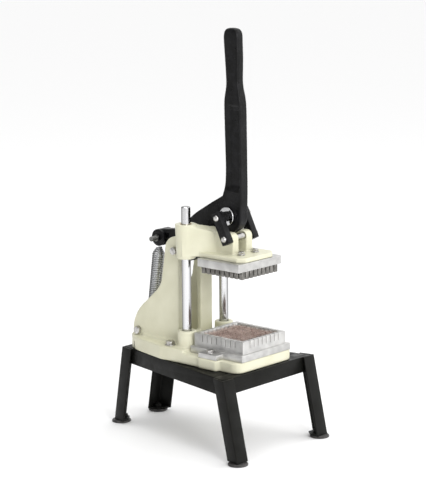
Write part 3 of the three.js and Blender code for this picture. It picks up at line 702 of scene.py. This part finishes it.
# %% Handle loft
GRIP_HALF = 7.7
BAR_HALF = 8.6
TIP_START = 626.0
TIP_TOP = 645.0
HANDLE_HEIGHTS = (359, 384, 404, 430, 520, 538, 556, 566, 600, 626, 646)
HANDLE_FRONT = (-9.9, -10.8, -11, -10.7, -9.6, -8.6, -4.7, -4.0, -5.0, -4.0, -4.0)
HANDLE_REAR = (34, 29, 21.4, 20.2, 22.8, 23.0, 19.8, 20.0, 22.4, 24.6, 24.6)
PANEL = {"bottom": 396, "top": 530, "front": -8.4, "rear": 19.6, "depth": 5.2}


def ramp(value, start, end):
    """0 before start, 1 after end, and t * t * (3 - 2 t) between them."""
    part = np.clip((value - start) / (end - start), 0, 1)
    return part * part * (3 - 2 * part)


def eased_line(height, heights, values, reach=9.0):
    """A broken line through the given points, averaged over a stretch of the given reach, so
    its corners turn into curves."""
    window = np.linspace(-reach, reach, 15)
    return np.interp(height[:, None] + window, heights, values).mean(1)


def handle_rings():
    """Ring at height z: corner arcs of a rounded rectangle, and points along its two sides. Near
    the tip the rectangle shrinks as (1 - t ** 3.4) ** (1 / 3.4)."""
    tip = TIP_START + (TIP_TOP - TIP_START) * np.sin(np.linspace(0, np.pi / 2, 16))
    height = np.concatenate([np.arange(HANDLE_HEIGHTS[0], TIP_START, 1.5), tip])
    front = eased_line(height, HANDLE_HEIGHTS, HANDLE_FRONT)
    rear = eased_line(height, HANDLE_HEIGHTS, HANDLE_REAR)
    into_tip = np.clip((height - TIP_START) / (TIP_TOP - TIP_START), 0, 0.999)
    shrink = (1 - into_tip ** 3.4) ** (1 / 3.4)
    half_depth = (rear - front) / 2 * shrink
    half_width = BAR_HALF + (GRIP_HALF - BAR_HALF) * ramp(height, 520, 566)
    half_width = half_width * (1 - into_tip ** 4) ** 0.25
    corner = 1.9 + 1.6 * ramp(height, 530, 566)
    corner = np.minimum(corner, np.minimum(half_depth, half_width) * 0.95)
    quarter = np.linspace(0, np.pi / 2, 7)
    along = np.linspace(-1, 1, 26)[1:-1]
    width = (half_width - corner)[:, None]
    depth = (half_depth - corner)[:, None]
    round_ = corner[:, None]
    flat = half_width[:, None] + 0 * along
    x = np.concatenate([flat, width + round_ * np.cos(quarter), -width - round_ * np.sin(quarter),
                        -flat, -width - round_ * np.cos(quarter), width + round_ * np.sin(quarter)], 1)
    y = np.concatenate([depth * along, depth + round_ * np.sin(quarter),
                        depth + round_ * np.cos(quarter), -depth * along,
                        -depth - round_ * np.sin(quarter), -depth - round_ * np.cos(quarter)], 1)
    y = y + ((front + rear) / 2)[:, None]
    z = np.broadcast_to(height[:, None], x.shape)
    panel = ramp(z, PANEL["bottom"], PANEL["bottom"] + 9) * ramp(-z, -PANEL["top"], 10 - PANEL["top"])
    panel = panel * ramp(y, PANEL["front"], PANEL["front"] + 2.4)
    panel = panel * np.clip((PANEL["rear"] - y) / 6.5, 0, 1)
    x = x - np.sign(x) * panel * PANEL["depth"]
    return np.stack([x, y, z], -1)


handle = skin(handle_rings())
print("handle loft", handle[0].shape[0], "points")

# %% [markdown]
# The hub and the spring's boss are lathe shapes along x, and the arm is a plate with an outline
# of straight runs and arcs. They overlap the handle, and the same rebuilding as for the base
# joins them with fillets into one casting. The arm's underside is hollowed beside the boss, so
# that the spring clears it when the lever is down. A slot for the spring's hook is cut out last.

# %% Arm, hub and fork
HUB_CENTRE = (16.0, 357.0)
PIVOT = (99.0, 297.0)
SPRING_TOP = (160.0, 306.0)
HUB_RADIUS = 26.0
ARM_HALF = 8.6
BOSS_RADIUS = 13.5
BOSS_HALF = 14.0
FORK_HALF = 2.6
SPRING_X = -8.0
ACROSS = (1.0, 0.0, 0.0)


def arc(centre, radius, start, end, steps=14):
    """Points on a circle about the centre, from one angle to another."""
    angle = np.linspace(start, end, steps)
    return np.stack([centre[0] + radius * np.cos(angle), centre[1] + radius * np.sin(angle)], 1)


def bow(start, pull, end, steps=9):
    """A quadratic curve: (1 - t) squared of start, 2 t (1 - t) of pull, t squared of end."""
    part = np.linspace(0, 1, steps)[1:, None]
    start, pull, end = (np.asarray(point, float) for point in (start, pull, end))
    return (1 - part) ** 2 * start + 2 * part * (1 - part) * pull + part ** 2 * end


def drum(centre, radius, half, edge, around=96):
    """A round boss across the machine, with rounded edges."""
    profile = rounded([(0.05, -half), (radius, -half), (radius, half), (0.05, half)],
                      [0, edge, edge, 0], 6, False)
    return turned(profile, (0.0, *centre), ACROSS, around)


arm_outline = np.concatenate([
    [(8.0, HUB_CENTRE[1] - HUB_RADIUS + 1)],
    arc(PIVOT, 21, -2.2, -0.98),
    [(129, 293), (148, 301), (SPRING_TOP[0], SPRING_TOP[1] - 3),
     (SPRING_TOP[0], SPRING_TOP[1] + BOSS_RADIUS)],
    bow((SPRING_TOP[0], SPRING_TOP[1] + BOSS_RADIUS), (119, 322), (109, 332)),
    bow((109, 332), (92, 350), (73, 361)),
    [(50, 374.8), (28, 387.0)],
])
arm = plate(arm_outline, -ARM_HALF, ARM_HALF, 1.6, across=True)
hub = drum(HUB_CENTRE, HUB_RADIUS, ARM_HALF, 1.8)
boss = drum(SPRING_TOP, BOSS_RADIUS, BOSS_HALF, 1.4)
lever_blank = as_cast(mesh_of("lever_blank", [handle, arm, hub, boss]), "lever_blank", 0.78, 4)

fork_reach = 20.0
fork_outline = [(SPRING_TOP[0] - fork_reach, SPRING_TOP[1] - fork_reach),
                (SPRING_TOP[0] + fork_reach, SPRING_TOP[1] - fork_reach),
                (SPRING_TOP[0] + fork_reach, SPRING_TOP[1] + 9),
                (SPRING_TOP[0] - fork_reach, SPRING_TOP[1] + 9)]
fork_slot = plate(
    fork_outline, SPRING_X - FORK_HALF, SPRING_X + FORK_HALF, 0.3, across=True, steps=2)
fork = mesh_of("fork_cutter", [fork_slot])
cutter = bpy.data.objects.new("fork_cutter", fork)
bpy.context.scene.collection.objects.link(cutter)
cut = {"operation": "DIFFERENCE", "object": cutter, "solver": "EXACT"}
lever = with_modifiers(lever_blank, "lever_body", [("BOOLEAN", cut)])
bpy.data.objects.remove(cutter)
show(lever, black, "lever", ["lever_casting"], crease=60)
print("lever casting", len(lever.polygons), "faces")

# %% [markdown]
# ## Rods, pins and links
# Ground rods have a small chamfer at the end, and pins and rivets have low domes where they
# were hammered. All of them are lathe shapes, along z for the rods and along x for the rest.

# %% Guide rods and their bushes
ROD_X = 43.3
ROD_Y = 71.5
ROD_RADIUS = 7.25
ROD_FLOOR = 129.0
ROD_TOP = 370.5

rod_profile = rounded([(0.05, ROD_FLOOR), (ROD_RADIUS, ROD_FLOOR), (ROD_RADIUS, ROD_TOP - 1.3),
                       (ROD_RADIUS - 1.3, ROD_TOP), (0.05, ROD_TOP)], [0, 0.3, 0.4, 0.4, 0], 3, False)
for hand, side in SIDES.items():
    stand = (side * ROD_X, ROD_Y, 0.0)
    rod = mesh_of(f"chromed_rod_{hand}", [turned(rod_profile, stand, UP, 64)])
    show(rod, chrome, "frame", [f"guide_rod_{hand}"])
    for plain, finish in (("guide_bush", bronze), ("rod_nut", zinc), ("pivot_spacer", zinc)):
        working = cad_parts[f"{plain}_{hand}"].data
        working.materials.clear()
        working.materials.append(finish)
print("rods", ROD_TOP - ROD_FLOOR, "mm long")

# %% [markdown]
# The hub pin carries a broad chromed shoulder on each side of the lever. A black collar sits
# on it, then the link, and last the rivet's bright head. Links are short black bars with
# slightly rounded ends, which stand at an angle, so their outline is turned before it is
# carried across.

# %% Hub pin, collars, links and rivets
SHOULDER = 14.5
SHOULDER_FACE = 13.0
LINK_FOOT = (0.5, 326.0)
LINK_IN = 24.0
LINK_OUT = 35.5
LINK_WIDTH = 15.0
LINK_SPARE = 17.0
PIN_RADIUS = 5.0
PIN_END = {-1: 38.0, 1: 41.5}
AIR = 0.3


def along_x(profile, centre, side, around=48):
    """A lathe shape along x on one side of the machine; heights are distances from its middle."""
    return turned(profile, (0.0, *centre), (side, 0.0, 0.0), around)


shoulder = rounded([(0.05, ARM_HALF + AIR), (SHOULDER, ARM_HALF + AIR), (SHOULDER, SHOULDER_FACE),
                    (0.05, SHOULDER_FACE)], [0, 0.5, 1.1, 0], 5, False)
core = [(0.05, 0.0), (PIN_RADIUS, 0.0), (PIN_RADIUS, SHOULDER_FACE - 0.1), (0.05, SHOULDER_FACE - 0.1)]
hub_parts = [along_x(shape, HUB_CENTRE, side, 72) for side in (-1, 1) for shape in (shoulder, core)]
show(mesh_of("hub_shoulders", hub_parts), chrome, "lever", ["hub_pin"])

collar = rounded([(0.05, SHOULDER_FACE + AIR), (8.0, SHOULDER_FACE + AIR), (8.0, LINK_IN - AIR),
                  (0.05, LINK_IN - AIR)], [0, 0.8, 0.8, 0], 4, False)

def pin_end(start, end):
    """A pin from start to a domed end."""
    return rounded([(0.05, start), (PIN_RADIUS - 0.2, start), (PIN_RADIUS - 0.2, end - 2.0),
                    (PIN_RADIUS - 1.6, end), (0.05, end)], [0, 0.2, 1.0, 1.6, 0], 5, False)


rise = np.subtract(HUB_CENTRE, LINK_FOOT)
length = np.linalg.norm(rise)
along = rise / length
beside = np.array([-along[1], along[0]])
middle = (np.asarray(HUB_CENTRE) + LINK_FOOT) / 2
reach = (length + LINK_SPARE) / 2
link_corners = [middle + a * reach * along + b * LINK_WIDTH / 2 * beside
                for a, b in ((-1, -1), (1, -1), (1, 1), (-1, 1))]
for hand, side in SIDES.items():
    ends = sorted((side * LINK_IN, side * LINK_OUT))
    bar = mesh_of(f"link_bar_{hand}", [plate(rounded(link_corners, 1.6), *ends, 0.9, across=True)])
    show(bar, black, "links", [f"link_{hand}"])
    stud = mesh_of(f"link_collar_{hand}", [along_x(collar, HUB_CENTRE, side)])
    show(stud, black, "links", [f"link_stud_{hand}"])
    rivet = pin_end(LINK_OUT - 1, PIN_END[side])
    head = mesh_of(f"link_rivet_{hand}", [along_x(rivet, HUB_CENTRE, side)])
    show(head, zinc, "links")
pins = [along_x(pin_end(0.0, PIN_END[side]), LINK_FOOT, side) for side in (-1, 1)]
show(mesh_of("cross_pin", pins), zinc, "carriage", ["link_foot_pin"])
print("link", round(length, 1), "mm between pins")

# %% [markdown]
# ## Bolts
# A bolt here is three closed skins in one mesh: a pressed washer, a hexagon head whose corners
# are turned off by a cone, and a threaded end. One function places them along any axis, so the
# same bolt serves on the ledge, on the plate and across the column.

# %% Bolts that stand upright
def upright_bolt(x, y, seat, foot, radius):
    """A bolt whose head sits at height seat and whose threaded end reaches down to foot."""
    head = seat + 1.4
    return [washer((x, y, seat), UP, radius * 2.1, 1.4),
            hexagon_block((x, y, head - 0.05), UP, radius * 1.85, radius * 1.3),
            thread((x, y, 0.0), (0.0, 0.0, -1.0), radius, -head, -foot)]


LEDGE = 150.3
EAR_BOLT = (64.5, 4.0)
EAR_SEAT = 153.3
EAR_BOLT_FOOT = 129.3
PLATE_SEAT = 301.8
PLATE_BOLT_FOOT = 285.4
SMALL_BOLT = 3.0
UNDER_RAIL = STAND_TOP - STEEL - AIR
BASE_BOLTS = {"front": (57.0, 95.0, 4.0), "rear": (18.0, 190.5, 3.0)}
PUSHER_BOLTS = {"left": (-16.0, -17.5), "right": (16.0, -17.5), "rear": (0.0, 20.0)}
for hand, side in SIDES.items():
    for place, (x, y, radius) in BASE_BOLTS.items():
        fixing = upright_bolt(side * x, y, LEDGE, UNDER_RAIL - 2.2 * radius, radius)
        show(mesh_of(f"ledge_bolt_{place}_{hand}", fixing), zinc, "frame",
             [f"base_bolt_{place}_{hand}"])
        nut = hexagon_block((side * x, y, UNDER_RAIL), (0, 0, -1.0), radius * 1.85, radius * 1.6)
        show(mesh_of(f"rail_nut_{place}_{hand}", [nut]), zinc, "frame",
             [f"base_nut_{place}_{hand}"])
    fixing = upright_bolt(side * EAR_BOLT[0], EAR_BOLT[1], EAR_SEAT, EAR_BOLT_FOOT, SMALL_BOLT)
    show(mesh_of(f"ear_bolt_{hand}", fixing), zinc, "frame",
         [f"blade_frame_bolt_{hand}"])
for place, (x, y) in PUSHER_BOLTS.items():
    fixing = upright_bolt(x, y, PLATE_SEAT, PLATE_BOLT_FOOT, SMALL_BOLT)
    show(mesh_of(f"plate_bolt_{place}", fixing), zinc, "carriage",
         [f"pusher_bolt_{place}"])
print("upright bolts ready")

# %% Bolts across the machine
CHEEK = 40.0
CROSS_HEAD = 6.5
SPRING_FOOT = (180.0, 158.0)


def cross_bolt(centre, face, radius):
    """Head outside the left face, threaded end out of the right one."""
    head = hexagon_block((-face - AIR, *centre), (-1.0, 0, 0), CROSS_HEAD, 5.0)
    shank = thread((0.0, *centre), ACROSS, radius, -face - AIR, face + 10)
    return [head, shank]


def cross_nut(centre, face):
    """A nut against the right face."""
    return [hexagon_block((face + AIR, *centre), ACROSS, CROSS_HEAD, 5.5)]


for name, centre, radius in (("lever_pivot", PIVOT, 3.5), ("spring_foot", SPRING_FOOT, 4.0)):
    show(mesh_of(f"{name}_screw", cross_bolt(centre, CHEEK, radius)), zinc, "frame",
         [f"{name}_bolt"])
    show(mesh_of(f"{name}_locknut", cross_nut(centre, CHEEK)), zinc, "frame",
         [f"{name}_nut"])
top_screw = [hexagon_block((BOSS_HALF + AIR, *SPRING_TOP), ACROSS, CROSS_HEAD, 4.7),
             thread((0.0, *SPRING_TOP), (-1.0, 0, 0), 4.0, -BOSS_HALF - AIR, 30.0)]
top_nut = [hexagon_block((-BOSS_HALF - AIR, *SPRING_TOP), (-1.0, 0, 0), 5.8, 4.2)]
show(mesh_of("spring_top_screw", top_screw), dull_steel, "lever", ["spring_top_bolt"])
show(mesh_of("spring_top_locknut", top_nut), dull_steel, "lever", ["spring_top_nut"])
print("cross bolts ready")

# %% [markdown]
# ## Cutting set
# The blade frame is an aluminium casting with a row of slots in each wall, so it keeps its
# working shape and only has its edges broken. Each blade is a thin strip with a knife edge:
# a six-sided section carried along its length. The pusher's fingers are square pegs with soft
# corners and rounded tips, 81 in all, each one small because there are so many.

# %% Blade frame and blades
CELL = 9.525
CELLS = 9
BLADE = 0.7
BLADE_TOP = 173.8
BLADE_FLOOR = 163.8
BLADE_REACH = 48.5
STEP = 0.2

block = broken_edges("blade_frame", "blade_holder", 0.45)
show(block, alloy, "frame", ["blade_frame"])


def blade(at, crossways):
    """A strip from -reach to reach at the given line. Its section is a wedge on a flat strip."""
    inset = STEP if crossways else 0.0
    top = BLADE_TOP - inset
    floor_ = BLADE_FLOOR + inset
    half = BLADE / 2
    section = np.array([(-half, floor_), (half, floor_), (half, top - 2.2), (0.1, top),
                        (-0.1, top), (-half, top - 2.2)])
    ends = np.array([-BLADE_REACH, BLADE_REACH])
    run = np.broadcast_to(ends[:, None], (2, len(section)))
    side_ = np.broadcast_to(at + section[:, 0], run.shape)
    up_ = np.broadcast_to(section[:, 1], run.shape)
    return skin(np.stack([run, side_, up_] if crossways else [side_, run, up_], -1))


lines = (np.arange(CELLS - 1) + 1 - CELLS / 2) * CELL
strips = [blade(at, crossways) for crossways in (False, True) for at in lines]
show(mesh_of("knife_grid", strips), blade_steel, "frame", ["blade_grid"])
print(len(strips), "blades,", CELL, "mm apart")

# %% Pusher block
PUSHER_HALF = (50.4, 42.6)
PUSHER_FLOOR = 281.4
PUSHER_TOP = 294.2
FINGER = 7.9
FINGER_TIP = 269.5


def box_outline(half_x, half_y, x=0.0, y=0.0):
    """Corners of a rectangle about (x, y)."""
    return [(x - half_x, y - half_y), (x + half_x, y - half_y),
            (x + half_x, y + half_y), (x - half_x, y + half_y)]


holder_plate = plate(rounded(box_outline(*PUSHER_HALF), 2.2), PUSHER_FLOOR, PUSHER_TOP, 0.9)
finger_lines = (np.arange(CELLS) - (CELLS - 1) / 2) * CELL
fingers = [plate(rounded(box_outline(FINGER / 2, FINGER / 2, x, y), 2.4, 3),
                 FINGER_TIP, PUSHER_FLOOR + 1, 1.6, steps=2)
           for x in finger_lines for y in finger_lines]
show(mesh_of("pusher_plate", [holder_plate]), alloy, "carriage", ["pusher_block"])
show(mesh_of("pusher_fingers", fingers), finger_alloy, "carriage")
print(len(fingers), "fingers")

# %% [markdown]
# ## Return spring
# The spring is close-wound from 3 mm wire. Its turns are one long helix whose radius draws in
# near both ends, and a round section is carried along it. It stretches when the lever comes
# down; here the coil is one mesh of fixed points, attached to no body. Two hooks, each an eye
# with a stem, reach into the ends.

# %% Coil and hooks
COIL_RADIUS = 10.4
WIRE = 3.0
WIRE_RADIUS = 1.3
HOOK_LENGTH = 15.5
NECK = 13.0
NECK_DRAW = 5.4

spring_line = np.array([0.0, SPRING_TOP[0] - SPRING_FOOT[0], SPRING_TOP[1] - SPRING_FOOT[1]])
spring_length = np.linalg.norm(spring_line)
spring_axis = spring_line / spring_length
spring_side = np.cross(spring_axis, ACROSS)


def wire(path, radius, reference, around=10):
    """A round section carried along a path. Its two directions are the path's cross product with
    a reference direction, and the cross product of that with the path."""
    tangent = np.gradient(path, axis=0)
    tangent /= np.linalg.norm(tangent, axis=1, keepdims=True)
    side = np.cross(tangent, reference)
    side /= np.linalg.norm(side, axis=1, keepdims=True)
    other = np.cross(side, tangent)
    angle = np.linspace(0, 2 * np.pi, around, endpoint=False)
    spoke = np.cos(angle)[:, None] * side[:, None] + np.sin(angle)[:, None] * other[:, None]
    return skin(path[:, None] + radius * spoke)


def on_spring(x, across_, height):
    """Points given by their offset along x, their offset behind the axis, and their height."""
    foot = np.array([SPRING_X, *SPRING_FOOT])
    return (foot + np.multiply.outer(x, ACROSS) + np.multiply.outer(across_, spring_side)
            + np.multiply.outer(height, spring_axis))


coil_from = HOOK_LENGTH
coil_to = spring_length - HOOK_LENGTH
turns = int((coil_to - coil_from - WIRE) / WIRE)
wind = np.linspace(0, turns * 2 * np.pi, turns * 22)
height = coil_from + WIRE / 2 + (coil_to - coil_from - WIRE) * wind / wind[-1]
from_end = np.minimum(height - coil_from, coil_to - height)
coil_reach = COIL_RADIUS - WIRE / 2 - NECK_DRAW * (1 - ramp(from_end, 0, NECK))
coil_path = on_spring(coil_reach * np.cos(wind), coil_reach * np.sin(wind), height)
coil = mesh_of("wound_spring", [wire(coil_path, WIRE_RADIUS, spring_axis)])
coil_piece = show(coil, spring_wire, None, ["spring_coil", "spring_coil_end"])
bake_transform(coil_piece)

EYE = 4.3 + WIRE / 2
STEM_LEAN = math.radians(70)


def hook(name, height, up, body, node):
    """An eye round the bolt, then a stem along the spring's axis, as one bent wire."""
    angle = np.linspace(-1.5 * np.pi + 0.5, 0.5 * np.pi - STEM_LEAN, 30)
    eye_y = EYE * np.cos(angle)
    eye_z = EYE * np.sin(angle)
    part = np.linspace(0, 1, 8)[1:]
    stem_y = eye_y[-1] * (1 - ramp(part, 0, 1))
    stem_z = eye_z[-1] + (EYE + 4 - eye_z[-1]) * part
    tail_z = np.linspace(EYE + 5, HOOK_LENGTH + 6, 6)
    across_ = np.concatenate([eye_y, stem_y, 0 * tail_z])
    along_ = np.concatenate([eye_z, stem_z, tail_z])
    path = on_spring(0 * across_, across_, height + up * along_)
    stop_low, stop_high = HOOK_LENGTH + 4, HOOK_LENGTH + 7
    stop = rounded([(0.05, stop_low), (2.9, stop_low), (2.9, stop_high), (0.05, stop_high)],
                   [0, 0.8, 0.8, 0], 3, False)
    base_point = on_spring(0.0, 0.0, height)
    parts = [wire(path, WIRE_RADIUS, ACROSS), turned(stop, base_point, up * spring_axis, 24)]
    return show(mesh_of(name, parts), spring_wire, body, [node])


hook("eye_hook_lower", 0.0, 1, "spring", "spring_hook_lower")
hook("eye_hook_upper", spring_length, -1, "spring_hook", "spring_hook_upper")
print("spring of", turns, "turns,", round(spring_length, 1), "mm between bolts")
